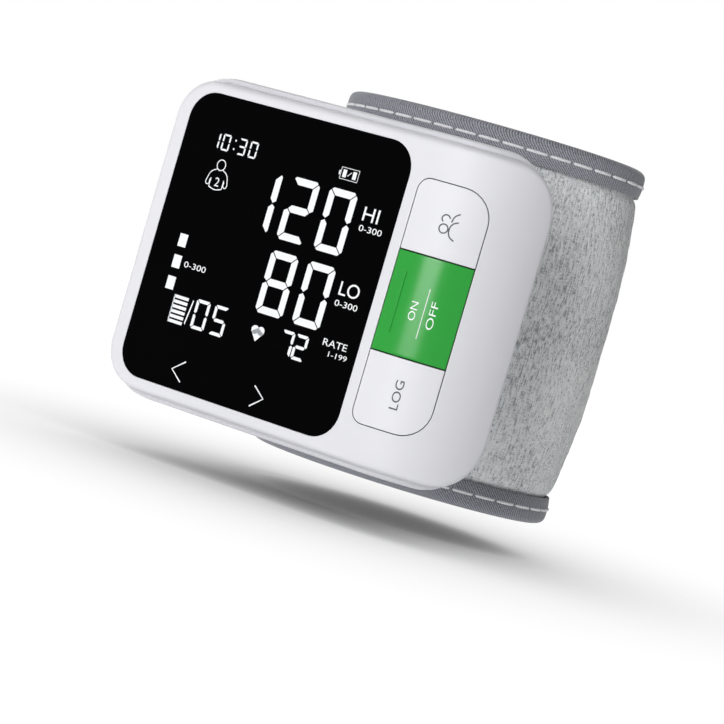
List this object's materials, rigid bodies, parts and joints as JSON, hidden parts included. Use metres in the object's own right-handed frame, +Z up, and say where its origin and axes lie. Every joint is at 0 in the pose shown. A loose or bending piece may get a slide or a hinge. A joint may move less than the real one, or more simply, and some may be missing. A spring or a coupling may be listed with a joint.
{
  "type": "wrist blood pressure monitor",
  "caption": "Display unit with a key strip set in its curved face, carried on a padded fabric cuff that opens and closes round the wrist.",
  "frame": {"origin": "Middle of the part's bounding box in plan, on the surface that the cuff's lower rim stands on.", "axes": "+Z up along the wrist, the display faces -Y, +X to the viewer's right, where the keys are."},
  "size_m": [0.0816, 0.081, 0.0738],
  "materials": {
    "housing_white": "satin moulded, near white",
    "rear_housing": "fine satin moulded, near white",
    "display_glass": "polished black window",
    "key_white": "satin moulded, near white",
    "key_green": "glossy green",
    "board": "green solder mask",
    "dark_plastic": "moulded, dark grey",
    "pale_plastic": "moulded, pale grey",
    "steel": "plated",
    "silicone": "translucent white, matte",
    "cell": "laminated pouch foil",
    "former": "flexible sheet",
    "cuff_fabric": "light grey heather loop cloth",
    "lining_fabric": "smooth grey knit",
    "binding_fabric": "dark grey speckled weave with white stitches",
    "hook_tape": "grey hook tape"
  },
  "bodies": {
    "unit": {"front_housing": "housing_white", "rear_housing": "rear_housing", "display_window": "display_glass", "display_module": "dark_plastic", "main_board": "board", "key_board": "board", "user_switch": "dark_plastic", "start_switch": "dark_plastic", "memory_switch": "dark_plastic", "key_board_screw_1": "steel", "key_board_screw_2": "steel", "housing_screw_1": "steel", "housing_screw_2": "steel", "housing_screw_3": "steel", "housing_screw_4": "steel", "pump_motor": "steel", "pump_head": "dark_plastic", "air_hose": "silicone", "air_manifold": "pale_plastic", "exhaust_valve": "steel", "pressure_sensor": "dark_plastic", "air_nipple": "pale_plastic", "buzzer": "dark_plastic", "battery_cell": "cell", "charging_socket": "steel", "cuff_outer_fabric": "cuff_fabric", "cuff_former": "former", "air_bladder": "silicone", "cuff_lining": "lining_fabric", "cuff_upper_binding": "binding_fabric", "cuff_lower_binding": "binding_fabric", "cuff_screw_1": "steel", "cuff_screw_2": "steel"},
    "user_key_body": {"user_key": "key_white", "user_switch_stem": "pale_plastic"},
    "start_key_body": {"start_key": "key_green", "start_switch_stem": "pale_plastic"},
    "memory_key_body": {"memory_key": "key_white", "memory_switch_stem": "pale_plastic"},
    "cuff_arm": {"arm_outer_fabric": "cuff_fabric", "arm_former": "former", "arm_lining": "lining_fabric", "arm_upper_binding": "binding_fabric", "arm_lower_binding": "binding_fabric"},
    "cuff_tail": {"tail_fabric": "cuff_fabric", "tail_hook_tape": "hook_tape"}
  },
  "joints": [
    {"name": "user_key_press", "type": "slide", "parent": "unit", "child": "user_key_body", "axis": [-0.3405, 0.9402, 0], "range_m": [0, 0.0006], "stiffness_N_per_m": 2000, "springref_m": -0.0002},
    {"name": "start_key_press", "type": "slide", "parent": "unit", "child": "start_key_body", "axis": [-0.3405, 0.9402, 0], "range_m": [0, 0.0006], "stiffness_N_per_m": 2000, "springref_m": -0.0002},
    {"name": "memory_key_press", "type": "slide", "parent": "unit", "child": "memory_key_body", "axis": [-0.3405, 0.9402, 0], "range_m": [0, 0.0006], "stiffness_N_per_m": 2000, "springref_m": -0.0002},
    {"name": "cuff_arm_hinge", "type": "hinge", "parent": "unit", "child": "cuff_arm", "pos_m": [0.0091, 0.03969, 0.0369], "axis": [0, 0, -1], "range_deg": [0, 60], "stiffness_Nm_per_rad": 0.2},
    {"name": "cuff_tail_hinge", "type": "hinge", "parent": "cuff_arm", "child": "cuff_tail", "pos_m": [-0.02968, 0.02646, 0.0369], "axis": [0, 0, -1], "range_deg": [0, 100]}
  ]
}
